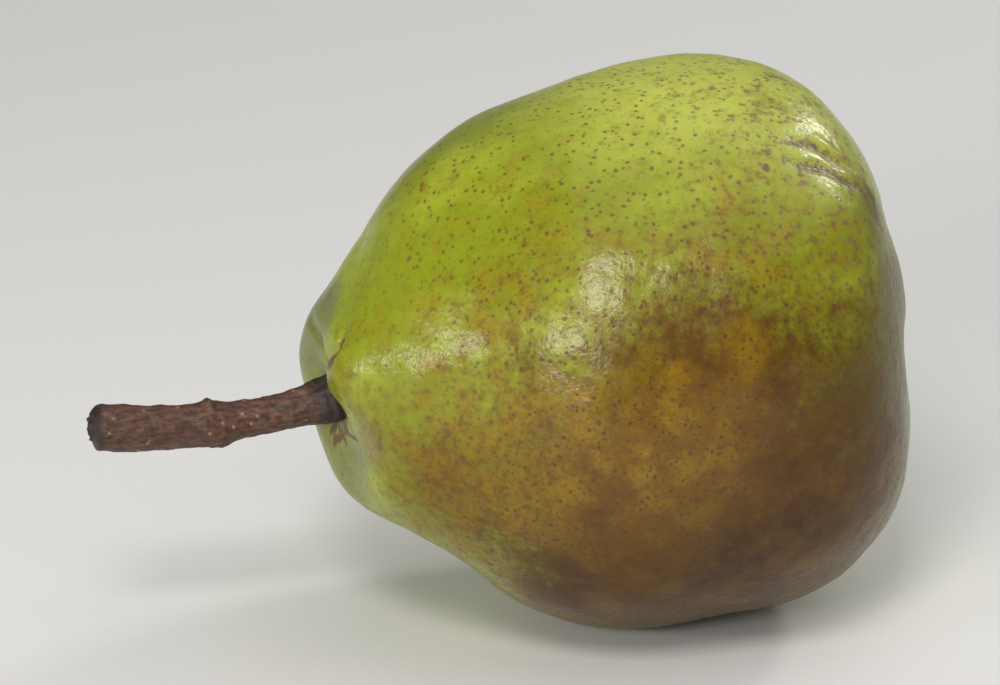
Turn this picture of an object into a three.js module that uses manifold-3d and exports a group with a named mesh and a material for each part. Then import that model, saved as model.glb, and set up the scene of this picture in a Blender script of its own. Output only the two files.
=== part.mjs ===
// A whole pear, as picked, lying on its side: body, woody stem, five dried sepals and a tuft of stamens.
// Millimetres, +Z up. The origin is the middle of the small flat spot that the pear rests on, the stem
// points to -X and the calyx, the dried remains of the flower, to +X.
import * as THREE from "three";
import { mergeVertices } from "three/addons/utils/BufferGeometryUtils.js";
import Module from "manifold-3d";

// Driving dimensions. Lengths are in millimetres and angles in degrees.
const AXIS_TILT = 7; // the stem end droops by this much as the pear lies
const AXIS_ROLL = 0; // turn about the pear's own axis
const HEART = { x: 0.25, y: 0, z: 37.05 }; // the middle of the core, seen from the rest spot

// The distance from the heart to the skin is a cosine series in the angle from the stem.
const OUTLINE = [39.4, 1.85, 1.4, 2.6, -0.25, 0.6, 0.65];

// Rises and hollows of the skin. "from" is the angle from the stem, "around" the angle about the axis
// from the top towards -Y, "spread" the radius of the rise in radians, and "rise" its height.
const RELIEF = {
  stemCavity: { from: 3, around: 0, spread: 0.15, rise: -4.5 },
  nearLip: { from: 15, around: 100, spread: 0.14, rise: 1.3 },
  farLip: { from: 17, around: -60, spread: 0.2, rise: 1.2 },
  lowerLip: { from: 16, around: 180, spread: 0.15, rise: 0.8 },
  waistAbove: { from: 27, around: 0, spread: 0.18, rise: -0.9 },
  waistBelow: { from: 31, around: 180, spread: 0.2, rise: -2.6 },
  neckAbove: { from: 38, around: 0, spread: 0.45, rise: 0.8 },
  neckBelow: { from: 38, around: 180, spread: 0.45, rise: -1.6 },
  shoulderAbove: { from: 47, around: 0, spread: 0.25, rise: 1.7 },
  bellyBelow: { from: 80, around: 180, spread: 0.55, rise: 0.7 },
  dent: { from: 125, around: 33, spread: 0.14, rise: -0.6 },
  cheekBelow: { from: 130, around: 180, spread: 0.5, rise: -0.6 },
  flatCheek: { from: 140, around: 90, spread: 0.5, rise: -3 },
  calyxBasin: { from: 180, around: 0, spread: 0.2, rise: -4.5 },
};
const RIB_COUNT = 5;
const RIB = { from: 156, spread: 0.28, rise: 0.45 };

const SKIN_SEGMENTS = { around: 64, along: 40 };
const END_CROWDING = 0.25; // draws the rings of the skin towards its two ends
const CLEARANCE = 0.3;

const STEM_LENGTH = 32.5;
const STEM_RISE = 2.4; // the stem stands this far above the pear's own axis
const STEM_RADII = [0.6, 3.2, 2.65, 2.45, 2.75, 3, 2.8, 3.05, 3.15, 2.7, 0.5];
const STEM_STATIONS = [0, 0.03, 0.18, 0.35, 0.44, 0.5, 0.62, 0.8, 0.9, 0.98, 1];
const STEM_BEND = { foot: 5.3, tip: -16.7 }; // slope below the pear's axis
const STEM_SEGMENTS = { around: 16, along: 26 };

const SEPAL = { length: 6.4, width: 3.2, thickness: 0.7, ring: 2.7, lean: 18, curl: 105 };
const STAMEN = { count: 9, length: 2.6, radius: 0.28, ring: 0.95, splay: 24 };
const STAMEN_BASE = { radius: 1.7, height: 1.1 };

const SKIN = { color: 0x8a8a2c, roughness: 0.42, metalness: 0 };
const STEM_BARK = { color: 0x674c3d, roughness: 0.62, metalness: 0 };
const DRIED_SEPAL = { color: 0x3f3022, roughness: 0.85, metalness: 0 };
const DRIED_STAMEN = { color: 0x2a2019, roughness: 0.9, metalness: 0 };

const radians = THREE.MathUtils.degToRad;
const wasm = await Module();
wasm.setup();

function welded(geometry) {
  geometry.deleteAttribute("normal");
  geometry.deleteAttribute("uv");
  return mergeVertices(geometry, 1e-4);
}

function asSolid(geometry) {
  return new wasm.Manifold(
    new wasm.Mesh({
      numProp: 3,
      vertProperties: geometry.attributes.position.array,
      triVerts: new Uint32Array(geometry.index.array),
    }),
  );
}

function asGeometry(solid) {
  const mesh = solid.getMesh();
  const geometry = new THREE.BufferGeometry();
  geometry.setAttribute("position", new THREE.BufferAttribute(mesh.vertProperties, 3));
  geometry.setIndex(new THREE.BufferAttribute(mesh.triVerts, 1));
  return geometry;
}

// Moves every vertex of a geometry to the place that a function gives for it.
function reshape(geometry, place) {
  const position = geometry.attributes.position;
  const point = new THREE.Vector3();
  for (let i = 0; i < position.count; i++) {
    place(point.fromBufferAttribute(position, i));
    position.setXYZ(i, point.x, point.y, point.z);
  }
  return geometry;
}

function named(name, geometry, finish) {
  geometry.computeVertexNormals();
  const mesh = new THREE.Mesh(geometry, new THREE.MeshStandardMaterial(finish));
  mesh.name = name;
  return mesh;
}

// The unit vector at an angle from the stem and an angle about the axis.
function direction(from, around) {
  const out = Math.sin(from);
  return new THREE.Vector3(-Math.cos(from), -out * Math.sin(around), out * Math.cos(around));
}

const reliefs = Object.values(RELIEF).map(({ from, around, spread, rise }) => ({
  middle: direction(radians(from), radians(around)),
  spread,
  rise,
}));

// How far the skin is from the heart in a direction.
function skinDistance(way) {
  const from = Math.acos(THREE.MathUtils.clamp(-way.x, -1, 1));
  const around = Math.atan2(-way.y, way.z);
  let distance = OUTLINE.reduce((sum, size, k) => sum + size * Math.cos(k * from), 0);
  for (const { middle, spread, rise } of reliefs) {
    distance += rise * Math.exp(-way.distanceToSquared(middle) / spread ** 2);
  }
  const onRibs = Math.exp(-(((from - radians(RIB.from)) / RIB.spread) ** 2));
  return distance + RIB.rise * onRibs * Math.cos(RIB_COUNT * around);
}

// How far out along the axis something of a given radius stands clear of the skin, at the stem end (-1)
// or the calyx end (1), when its middle is raised above the axis.
function seat(end, radius, raised = 0) {
  const reach = end * skinDistance(new THREE.Vector3(end, 0, 0));
  const way = new THREE.Vector3();
  let height = 0;
  for (let around = 0; around < 2 * Math.PI; around += Math.PI / 8) {
    way.set(reach, radius * Math.sin(around), raised + radius * Math.cos(around)).normalize();
    height = Math.max(height, Math.abs(way.x) * skinDistance(way));
  }
  return height + CLEARANCE;
}

// The whole body in its own frame: a ball whose points are pushed out to the skin.
function bodyGeometry() {
  const ball = new THREE.SphereGeometry(1, SKIN_SEGMENTS.around, SKIN_SEGMENTS.along);
  return reshape(welded(ball.rotateZ(Math.PI / 2)), (point) => {
    const from = Math.acos(THREE.MathUtils.clamp(-point.x, -1, 1));
    const around = Math.atan2(-point.y, point.z);
    const way = direction(from - END_CROWDING * Math.sin(2 * from), around);
    point.copy(way).multiplyScalar(skinDistance(way));
  });
}

// The body as it lies, cut level where its weight flattens it.
function restingBody(placement) {
  const under = new THREE.BoxGeometry(200, 200, 50).translate(0, 0, -25);
  const whole = asSolid(bodyGeometry().applyMatrix4(placement));
  return asGeometry(whole.subtract(asSolid(welded(under))));
}

// A turned profile with a foot and a bud scar, bent along an arc and ended by a slanting cut.
function stemGeometry() {
  const outline = new THREE.SplineCurve(
    STEM_RADII.map((radius, i) => new THREE.Vector2(radius, STEM_STATIONS[i] * STEM_LENGTH)),
  );
  const side = outline.getSpacedPoints(STEM_SEGMENTS.along);
  const profile = [new THREE.Vector2(0, 0), ...side, new THREE.Vector2(0, STEM_LENGTH)];
  const straight = welded(new THREE.LatheGeometry(profile, STEM_SEGMENTS.around));
  const foot = radians(STEM_BEND.foot);
  const turn = (radians(STEM_BEND.tip) - foot) / STEM_LENGTH;
  return reshape(straight, (point) => {
    const along = point.y;
    const slope = foot + turn * along;
    const back = (Math.sin(slope) - Math.sin(foot)) / turn;
    const drop = (Math.cos(foot) - Math.cos(slope)) / turn;
    point.set(-back - point.x * Math.sin(slope), -point.z, -drop + point.x * Math.cos(slope));
  });
}

// A thin tapering scale that leans out from the calyx and curls over.
function sepalGeometry() {
  const { length, width, thickness, lean, curl } = SEPAL;
  const slab = welded(new THREE.BoxGeometry(1, thickness, length, 4, 1, 10));
  const turn = radians(curl - lean) / length;
  return reshape(slab, (point) => {
    const along = point.z + length / 2;
    const share = along / length;
    const half = width * (0.5 - 0.36 * share ** 2) * (1 - 0.25 * (1 - share) ** 3);
    const slope = radians(lean) + turn * along;
    const out = (Math.cos(radians(lean)) - Math.cos(slope)) / turn;
    const up = (Math.sin(slope) - Math.sin(radians(lean))) / turn;
    const cup = 0.9 * point.x ** 2 * width * (1 - share);
    const thick = point.y * (1 - 0.45 * share) - cup;
    point.set(
      up - thick * Math.sin(slope),
      point.x * 2 * half,
      out + thick * Math.cos(slope),
    );
  });
}

// A low boss with a ring of short dry filaments on it.
function stamenGeometry() {
  const { radius, height } = STAMEN_BASE;
  const boss = new THREE.CylinderGeometry(radius * 0.8, radius, height, 18, 1);
  let tuft = asSolid(welded(boss.translate(0, height / 2, 0)));
  for (let i = 0; i < STAMEN.count; i++) {
    const filament = new THREE.CylinderGeometry(STAMEN.radius * 0.7, STAMEN.radius, STAMEN.length, 6, 1)
      .translate(0, STAMEN.length / 2, 0)
      .rotateX(radians(STAMEN.splay * (i % 2 ? 0.5 : 1)))
      .translate(0, height * 0.6, STAMEN.ring * (i % 2 ? 0.55 : 1))
      .rotateY((2 * Math.PI * i) / STAMEN.count);
    tuft = tuft.add(asSolid(welded(filament)));
  }
  return asGeometry(tuft).rotateZ(-Math.PI / 2);
}

// Everything that is fixed to the body, in the pear's own frame: -X is the stem end.
const fruit = new THREE.Group();
fruit.position.set(HEART.x, HEART.y, HEART.z);
fruit.rotation.set(radians(AXIS_ROLL), radians(-AXIS_TILT), 0, "YXZ");
fruit.updateMatrix();

const stem = named("stem", stemGeometry(), STEM_BARK);
stem.position.set(-seat(-1, Math.max(...STEM_RADII), STEM_RISE), 0, STEM_RISE);
fruit.add(stem);

for (let i = 0; i < RIB_COUNT; i++) {
  const sepal = named("sepal_" + (i + 1), sepalGeometry(), DRIED_SEPAL);
  sepal.position.z = SEPAL.ring;
  const turned = new THREE.Group();
  turned.position.x = seat(1, SEPAL.ring + SEPAL.thickness);
  turned.rotation.x = (2 * Math.PI * (i + 0.5)) / RIB_COUNT;
  turned.add(sepal);
  fruit.add(turned);
}

const stamens = named("stamens", stamenGeometry(), DRIED_STAMEN);
stamens.position.x = seat(1, STAMEN_BASE.radius);
fruit.add(stamens);

const pear = new THREE.Group();
pear.add(named("pear_body", restingBody(fruit.matrix), SKIN), fruit);

export default pear;
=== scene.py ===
"""A whole pear lying on its side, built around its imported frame, laid out as a Blender add-on.

The skin, the woody stem, the five dried sepals and the tuft of stamens are surfaces of two parameters,
worked out with numpy in the pear's own frame: its heart is the origin, -X the stem end and +X the calyx.
Lengths in the tables below are millimetres and angles degrees, unless a comment says otherwise.
"""

import math

import bpy
import numpy as np
from bpy.props import FloatProperty, FloatVectorProperty, IntProperty, PointerProperty
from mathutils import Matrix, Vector


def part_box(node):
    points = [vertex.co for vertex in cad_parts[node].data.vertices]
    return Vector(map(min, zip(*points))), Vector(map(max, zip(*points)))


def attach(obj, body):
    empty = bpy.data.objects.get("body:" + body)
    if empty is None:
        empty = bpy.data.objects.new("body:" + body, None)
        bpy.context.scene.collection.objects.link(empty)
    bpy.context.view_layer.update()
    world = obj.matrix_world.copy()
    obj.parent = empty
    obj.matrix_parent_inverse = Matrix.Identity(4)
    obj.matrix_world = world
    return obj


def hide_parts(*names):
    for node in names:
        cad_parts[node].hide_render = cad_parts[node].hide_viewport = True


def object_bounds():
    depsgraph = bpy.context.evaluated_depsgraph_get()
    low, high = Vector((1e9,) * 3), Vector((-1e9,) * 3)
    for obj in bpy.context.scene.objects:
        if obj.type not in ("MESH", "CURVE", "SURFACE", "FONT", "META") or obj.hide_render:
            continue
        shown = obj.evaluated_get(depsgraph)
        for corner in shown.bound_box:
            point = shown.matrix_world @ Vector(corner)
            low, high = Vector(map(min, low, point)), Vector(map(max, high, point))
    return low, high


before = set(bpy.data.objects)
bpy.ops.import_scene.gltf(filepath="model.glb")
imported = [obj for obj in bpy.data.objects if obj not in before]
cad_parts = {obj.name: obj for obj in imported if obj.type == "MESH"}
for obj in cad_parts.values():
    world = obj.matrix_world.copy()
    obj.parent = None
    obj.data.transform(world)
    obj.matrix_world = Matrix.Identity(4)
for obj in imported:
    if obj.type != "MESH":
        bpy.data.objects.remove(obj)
CAD_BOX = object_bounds()

bl_info = {
    "name": "Resting Pear",
    "version": (1, 0, 0),
    "blender": (4, 5, 0),
    "location": "View3D > Sidebar > Pear",
    "description": "Builds a whole pear lying on its side, with its stem and calyx, and a plain stage",
    "category": "Add Mesh",
}

MM = 0.001
BODY = "root"


def linear(hex_colour):
    """Turns an sRGB colour such as 0x8A941D into a linear RGBA tuple."""
    parts = [(hex_colour >> shift & 255) / 255 for shift in (16, 8, 0)]
    return tuple(c / 12.92 if c <= 0.04045 else ((c + 0.055) / 1.055) ** 2.4 for c in parts) + (1.0,)


def colour(name, description, hex_colour):
    """A colour setting whose default is an sRGB hex value."""
    return FloatVectorProperty(
        name=name,
        description=description,
        subtype="COLOR",
        size=4,
        min=0,
        max=1,
        default=linear(hex_colour),
    )


def length(name, description, millimetres):
    """A length setting whose default is given in millimetres."""
    return FloatProperty(
        name=name,
        description=description,
        default=millimetres * MM,
        min=0,
        precision=5,
        subtype="DISTANCE",
        unit="LENGTH",
    )


def angle(name, description, degrees):
    """An angle setting whose default is given in degrees."""
    return FloatProperty(
        name=name, description=description, default=math.radians(degrees), subtype="ANGLE", unit="ROTATION"
    )


# How the pear lies: its heart above the rest spot, and the droop of its stem end.
HEART = np.array([0.25, 0.0, 37.05])
AXIS_TILT = math.radians(7)

# The distance from the heart to the skin is a cosine series in the angle from the stem.
OUTLINE = [39.4, 1.85, 1.4, 2.6, -0.25, 0.6, 0.65]

# Rises and hollows of the skin: angle from the stem, angle about the axis from the top towards -Y,
# spread in radians, and height.
RELIEF = {
    "stem cavity": (3, 0, 0.15, -4.5),
    "near lip": (15, 100, 0.14, 1.3),
    "far lip": (17, -60, 0.2, 1.2),
    "lower lip": (16, 180, 0.15, 0.8),
    "waist above": (27, 0, 0.18, -0.9),
    "waist below": (31, 180, 0.2, -2.6),
    "neck above": (38, 0, 0.45, 0.8),
    "neck below": (38, 180, 0.45, -1.6),
    "shoulder above": (47, 0, 0.25, 1.7),
    "belly below": (80, 180, 0.55, 0.7),
    "dent": (125, 33, 0.14, -0.6),
    "cheek below": (130, 180, 0.5, -0.6),
    "flat cheek": (140, 90, 0.5, -3),
    "calyx basin": (180, 0, 0.2, -4.5),
}
# Soft ribs round the calyx shoulder: number, middle and spread as angles from the stem in radians, height.
RIB_COUNT = 5
RIB_FROM = math.radians(156)
RIB_SPREAD = 0.28
RIB_RISE = 0.45

# Finer folds that press against the foot of the stem, in the same four numbers.
STEM_FOLDS = {
    "near bulge": (15, 40, 0.1, 1.2),
    "bulge edge": (9.5, 38, 0.05, 0.8),
    "under hollow": (9.5, 125, 0.125, -2.1),
    "near valley": (14, 92, 0.12, -2.3),
    "far lip": (15, -60, 0.14, 0.6),
}

# Creases that run out of the stem's seat: (from, around) along each, in degrees, with its width and depth.
STEM_CREASES = {
    "far": ([(9, 0), (11, -1), (12.9, -7), (16.1, -28), (18, -34)], 0.6, 0.4),
    "near": ([(11, 12), (14, 20), (16.8, 27), (18.2, 24.5), (20, 20.5)], 0.7, 0.9),
}
# Russet streaks beside the stem: (from, around) along each, with its width and share.
STEM_STREAKS = {
    "far": ([(9, 2), (11, 2), (12.9, -4), (16.1, -27)], 0.6, 1.0),
    "near": ([(12, 20), (14.5, 31), (16.4, 30), (17.9, 25), (19.6, 21.4)], 0.75, 1.05),
    "under left": ([(2, -165), (4.5, 178), (7, 172)], 0.65, 0.85),
    "under middle": ([(3, 150), (5, 138), (7, 136)], 0.45, 0.85),
    "under right": ([(4, 120), (7.5, 106), (10.8, 99)], 0.42, 0.8),
    "bulge edge": ([(11, 66), (13.6, 73), (15.6, 79.5), (18.1, 84), (20.2, 87.1)], 0.6, 0.42),
}

# Two creases where a twig pressed on the young fruit, and the ridge it pushed up: (from, around) along
# each of them.
RUB_CREASES = {
    "upper": [(113, 30.5), (118, 29.7), (121.5, 29.3), (124, 31.2), (127, 33), (131, 34)],
    "lower": [(112.5, 33.5), (117, 36), (121.7, 36.3), (126, 38.2), (131, 39.2), (135, 39.4)],
}
RUB_RIDGE = [(121, 26.8), (124, 27.6), (128, 30.5), (132, 32)]
RIDGE_WIDTH = 0.9
RIDGE_HEIGHT = 0.35
CREASE_WIDTH = 0.75
CREASE_DEPTH = 0.42
PATH_POINTS = 48  # points along a crease that distances are taken to
RUB_END_GAP = 0.9  # how much farther off the rub counts where its creases fade out
RUB_RUSSET_WIDTH = 1.2
RUB_RUSSET = 0.74
NO_RUB = 99.0  # a distance at which the rub shows no more

# From the heart to the skin at the rub and beside the stem, for distances to a crease.
RUB_RADIUS = 39
STEM_END_RADIUS = 37

# Fine puckers where the skin draws in towards the calyx: number round and phase of each wave, then their
# middle and spread as angles from the stem in radians, and their height.
PUCKERS = ((11, 1), (17, 4))
PUCKER_FROM = math.radians(168)
PUCKER_SPREAD = 0.1
PUCKER_HEIGHT = 0.14

# Soft lumps all over, and fine ones at the rub: wavelength, seed, and share of the undulation.
LUMPS = ((17, 3, 1.0), (8, 4, 0.55), (3.4, 5, 0.18))
RUB_LUMPS = (2.0, 6, 0.45)
RUB_LUMPS_REACH = 2.2
CALM_POLES = 0.2  # radians from a pole over which the lumps die out
POLE_GAP = 1e-4  # radians; at a pole itself the angle about the axis means nothing
POLE_CROWDING = 0.25  # how strongly the rings crowd towards the poles
FLAT_SPOT_BLEND = 0.12  # how softly the rest spot turns from flat to round

# Where the skin changes colour: angle from the stem, angle about the axis, spread in radians, and share.
# The blush is bronze. The shade is painted shade that darkens the skin. The grey about the stem is a painted
# reflection with painted shade, and the pale part on the upper shoulder is painted light.
BLUSH = {
    "sunny side": (84, 112, 0.97, 1.3),
    "belly": (88, 78, 0.35, 0.2),
    "bulge edge": (17, 84, 0.09, 0.3),
    "low neck": (30, 98, 0.16, 0.3),
}
BLUSH_DRIFT = (24, 11, 0.07)  # wavelength, seed and share of its uneven edge
# Painted shade: the skin darkened on its right side and right cheek, low on the neck and the belly,
# underneath, beside the stem's bulge and in the crease valley, where shade falls.
SHADE = {
    "right flank": (124, 94, 0.5, 0.85),
    "right cheek": (142, 68, 0.24, 0.5),
    "low neck": (60, 124, 0.36, 0.5),
    "low lip": (30, 104, 0.2, 0.3),
    "under side": (94, 150, 0.6, 0.95),
    "low belly": (100, 120, 0.42, 0.45),
    "near bulge": (15, 46, 0.12, 0.25),
    "near neck": (24, 66, 0.22, 0.2),
    "crease valley": (135, 43, 0.09, 0.7),
}
# Painted reflection and painted shade: grey green on the lips and the rim about the stem, standing in for the
# pale surroundings reflected where the skin lies in shade.
PAINTED_REFLECTION_AND_SHADE = {
    "far lip": (14, -45, 0.16, 0.85),
    "upper lip": (18, -12, 0.11, 0.75),
    "far rim": (24, -50, 0.16, 0.6),
    "under lip": (10, 150, 0.15, 0.8),
    "valley": (10, 108, 0.06, 0.35),
}
# Painted light: the upper shoulder is painted paler where the light from above falls.
PAINTED_LIGHT_PATCH = {"upper shoulder": (112, -6, 0.65, 1.15)}
PORE_CROWD = {"calyx shoulder": (118, 10, 0.62, 1.0), "cheek": (125, 60, 0.45, 0.5)}
PORES_GROWN = (15, 60)  # degrees from the stem between which pores reach their full share
PORES_AT_STEM = 0.45
RUSSET = {
    "calyx basin": (180, 0, 0.17, 0.8),
    "scar": (109.7, 36.6, 0.022, 1.1),
    "small scar": (37.5, 21.3, 0.018, 0.8),
}
# Russet rays: the pole they fan out of, their reach as a chord, and number round and phase of each wave.
RAYS = {
    "stem": (0.0, 0.085, ((5, 3.4), (9, 2.2), (17, 4.0))),
    "calyx": (math.pi, 0.24, ((7, 0.4), (12, 2.9), (23, 1.0))),
}
RAY_SHARE = 1.1

# The stem's seat in the pear frame, and how far its foot reaches into the flesh.
STEM_SEAT = 42.7
STEM_RISE = 2.4
STEM_SINK = 4.0
STEM_RIM = 1.2  # the last stretch below the cut, whose rings are closer
FOOT_FLARE = (0.85, 3.6, 1.6)  # its height, its length and the power it falls with
TIP_SWELL = (0.62, 10.5, 29)  # its height, and where along the stem it starts and is full

# Swellings of the stem: middle and reach along it, height, side they stand on as an angle about the axis,
# and spread about that side.
STEM_SWELLINGS = {
    "bud scar": (16.9, 0.85, 0.62, 0.0, 0.33),
    "corner under it": (15.4, 1.3, 0.5, math.pi, 0.5),
    "knee": (16.4, 3.4, 0.32, 0.0, math.inf),
}
# Lengthwise ridges: number round, height, phase and turn along the stem.
STEM_RIDGES = ((4, 0.07, 0.4, 0.06), (7, 0.04, 1.9, -0.1), (12, 0.025, 4.1, 0.14))
# Crosswise wrinkles: middle and reach of each patch, and height.
STEM_WRINKLES = ((0.0, 3.0, 0.05), (16.5, 2.5, 0.03))

# Places along the pear's axis, and the radii of the rings that the calyx stands on.
CALYX_SEAT = 32.55
SEPAL_RING = 2.6
SEPAL_THICKNESS = 0.34
SEPAL_CUP = 0.6
STAMEN_SEAT = 31.6
STAMEN_RINGS = (0.5, 1.25, 1.25)
BOSS_RADIUS = 1.85
BOSS_HEIGHT = 1.1
BOSS_FOOT = 0.7


def direction(from_stem, around):
    """The unit vector at an angle from the stem and an angle about the axis, both in radians."""
    out = np.sin(from_stem)
    return np.stack([-np.cos(from_stem), -out * np.sin(around), out * np.cos(around)], axis=-1)


def place(points):
    """Pear frame to row frame: droops the stem end, then lifts the heart to its place."""
    c, s = math.cos(AXIS_TILT), math.sin(AXIS_TILT)
    x, y, z = np.moveaxis(points, -1, 0)
    return np.stack([x * c - z * s, y, x * s + z * c], axis=-1) + HEART


def bump_field(ways, table):
    """The sum of rises: each is its height times exp(-(chord to its middle / its spread) squared)."""
    total = np.zeros(ways.shape[:-1])
    for from_stem, around, spread, rise in table.values():
        middle = direction(math.radians(from_stem), math.radians(around))
        total += rise * np.exp(-((ways - middle) ** 2).sum(-1) / spread**2)
    return total


def waves(points, wavelength, seed, count=14):
    """Smooth noise from -1 to 1 or so: the mean of plane sine waves of about one wavelength, in random
    directions and phases that the seed fixes."""
    chance = np.random.default_rng(seed)
    ways = chance.normal(size=(count, 3))
    ways /= np.linalg.norm(ways, axis=1, keepdims=True)
    sizes = 2 * np.pi / (wavelength * chance.uniform(0.75, 1.35, count))
    phases = chance.uniform(0, 2 * np.pi, count)
    total = np.zeros(points.shape[:-1])
    for way, size, phase in zip(ways, sizes, phases):
        total += np.sin(points @ way * size + phase)
    return total / math.sqrt(count / 2)


def skin_distance(from_stem, around):
    """How far the skin is from the heart: the cosine series, plus the relief, plus five ribs that are a
    cosine of five times the angle about the axis, faded out away from the calyx shoulder."""
    ways = direction(from_stem, around)
    total = bump_field(ways, RELIEF)
    for k, size in enumerate(OUTLINE):
        total += size * np.cos(k * from_stem)
    return total + RIB_RISE * bell(from_stem - RIB_FROM, RIB_SPREAD) * np.cos(RIB_COUNT * around)


def path_distance(ways, path, radius):
    """The shortest distance from each direction to points along a path of (from, around) angles, as a chord
    of a ball of the given radius, and the share of the way along the path where it is shortest."""
    stops = np.radians(np.array(path, float))
    share = np.linspace(0, 1, PATH_POINTS)
    at = share * (len(path) - 1)
    from_stem = np.interp(at, range(len(path)), stops[:, 0])
    around = np.interp(at, range(len(path)), stops[:, 1])
    nearest = np.full(ways.shape[:-1], np.inf)
    where = np.zeros(ways.shape[:-1])
    for middle, s in zip(direction(from_stem, around), share):
        chord = np.linalg.norm(ways - middle, axis=-1)
        where = np.where(chord < nearest, s, where)
        nearest = np.minimum(nearest, chord)
    return nearest * radius, where


def bell(value, spread):
    """1 where the value is zero, falling on both sides as exp(-(value / spread) squared)."""
    return np.exp(-((value / spread) ** 2))


def arch(share, low, high, power):
    """A power of half a sine wave along a path, near 0 at its ends and 1 in its middle."""
    return np.sin(np.pi * np.clip(share, low, high)) ** power


def smooth_step(low, high, value):
    """0 below low, 1 above high, and 3t^2 - 2t^3 between."""
    t = np.clip((value - low) / (high - low), 0, 1)
    return t * t * (3 - 2 * t)


# ---------------------------------------------------------------------------------------------- meshes


def grid_faces(rows, columns):
    """Quads of a grid whose columns close on themselves, as an index array."""
    row = np.arange(rows - 1)[:, None] * columns
    column = np.arange(columns)[None, :]
    after = (column + 1) % columns
    quads = np.stack([row + column, row + after, row + columns + after, row + columns + column], -1)
    return quads.reshape(-1, 4)


def closed_tube(rings, first, last):
    """A closed surface from rings of points, shape (rows, columns, 3), with a pole at either end, as its
    points and its arrays of quads and of triangles."""
    rows, columns = rings.shape[:2]
    points = np.concatenate([rings.reshape(-1, 3), [first], [last]])
    quads = grid_faces(rows, columns)
    column = np.arange(columns)
    after = (column + 1) % columns
    low = np.stack([after, column, np.full(columns, rows * columns)], -1)
    base = (rows - 1) * columns
    high = np.stack([base + column, base + after, np.full(columns, rows * columns + 1)], -1)
    return points, [quads, np.concatenate([low, high])]


def build_mesh(name, parts, material, attributes=None):
    """Puts closed surfaces, points in millimetres, into one smooth mesh object at the origin."""
    points = np.concatenate([p for p, _ in parts]) * MM
    loops, starts, sizes = [], [], []
    offset = corner = 0
    for p, face_sets in parts:
        for faces in face_sets:
            loops.append((faces + offset).ravel())
            starts.append(corner + np.arange(len(faces)) * faces.shape[1])
            sizes.append(np.full(len(faces), faces.shape[1]))
            corner += faces.size
        offset += len(p)
    mesh = bpy.data.meshes.new(name)
    mesh.vertices.add(len(points))
    mesh.vertices.foreach_set("co", points.astype(np.float32).ravel())
    mesh.loops.add(corner)
    mesh.loops.foreach_set("vertex_index", np.concatenate(loops).astype(np.int32))
    mesh.polygons.add(sum(len(s) for s in starts))
    mesh.polygons.foreach_set("loop_start", np.concatenate(starts).astype(np.int32))
    mesh.polygons.foreach_set("loop_total", np.concatenate(sizes).astype(np.int32))
    mesh.update(calc_edges=True)
    for key, values in (attributes or {}).items():
        layer = mesh.attributes.new(key, "FLOAT", "POINT")
        layer.data.foreach_set("value", values.astype(np.float32))
    mesh.materials.append(material)
    mesh.polygons.foreach_set("use_smooth", np.ones(len(mesh.polygons), bool))
    if mesh.validate():
        raise RuntimeError(name + " has faces that don't join")
    piece = bpy.data.objects.new(name, mesh)
    bpy.context.scene.collection.objects.link(piece)
    return piece


def settle(piece, node, slack):
    """Hands a piece to the frame in place of its CAD node, once its box agrees with the node's box."""
    low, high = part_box(node)
    co = np.zeros(len(piece.data.vertices) * 3, np.float32)
    piece.data.vertices.foreach_get("co", co)
    co = co.reshape(-1, 3)
    miss = max(np.abs(co.min(0) - np.array(low)).max(), np.abs(co.max(0) - np.array(high)).max())
    if miss > slack * MM:
        raise RuntimeError(f"{piece.name} misses the box of {node} by {miss / MM:.1f} mm")
    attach(piece, BODY)
    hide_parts(node)


# ------------------------------------------------------------------------------------------- materials


def add(tree, kind, inputs=None, out=0, **settings):
    """Adds a shader node, sets its properties, gives each named input its value or its link, and returns
    the output asked for."""
    made = tree.nodes.new("ShaderNode" + kind)
    for key, value in settings.items():
        setattr(made, key, value)
    for key, value in (inputs or {}).items():
        socket = made.inputs[key]
        if isinstance(value, bpy.types.NodeSocket):
            tree.links.new(value, socket)
        else:
            socket.default_value = value
    return made.outputs[out] if made.outputs else None


# Settings that turn up again and again: a Map Range as a soft step, and a Mix of two colours.
SOFT = {"interpolation_type": "SMOOTHSTEP"}
TINT = {"data_type": "RGBA", "out": 2}

# Patterns of the skin, from the widest to the finest: size in millimetres, octaves and roughness.
SKIN_PATTERNS = {
    "drift": (13, 3, 0.55),
    "patch": (4.5, 5, 0.62),
    "streak": (1.6, 5, 0.7),
    "mottle": (1.5, 4, 0.6),
    "peel": (1.3, 2, 0.5),
    "grain": (0.7, 3, 0.6),
    "wax": (0.32, 1, 0.5),
}
SKIN_FIELDS = ("blush", "shade", "painted_reflection_and_shade", "painted_light", "russet", "pore_crowding", "pore_share")


def new_material(name):
    """An empty node material, its tree and its Object coordinates."""
    material = bpy.data.materials.new(name)
    material.use_nodes = True
    tree = material.node_tree
    tree.nodes.clear()
    return material, tree, add(tree, "TexCoord", out="Object")


def fray(tree, share, pattern, weight):
    """A share whose edge wanders: the share plus twice the weight times the pattern less one half."""
    moved = add(tree, "Math", {0: pattern, 1: 2 * weight, 2: share}, operation="MULTIPLY_ADD")
    return add(tree, "Math", {0: moved, 1: weight}, operation="SUBTRACT")


def veil(tree, under, over, pattern, low, high, most=1.0, **settings):
    """A colour laid over another where a pattern rises from low to high, no stronger than most."""
    share = add(tree, "MapRange", {0: pattern, 1: low, 2: high, 4: most}, **SOFT)
    return add(tree, "Mix", {0: share, 6: under, 7: over}, **TINT, **settings)


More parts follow.
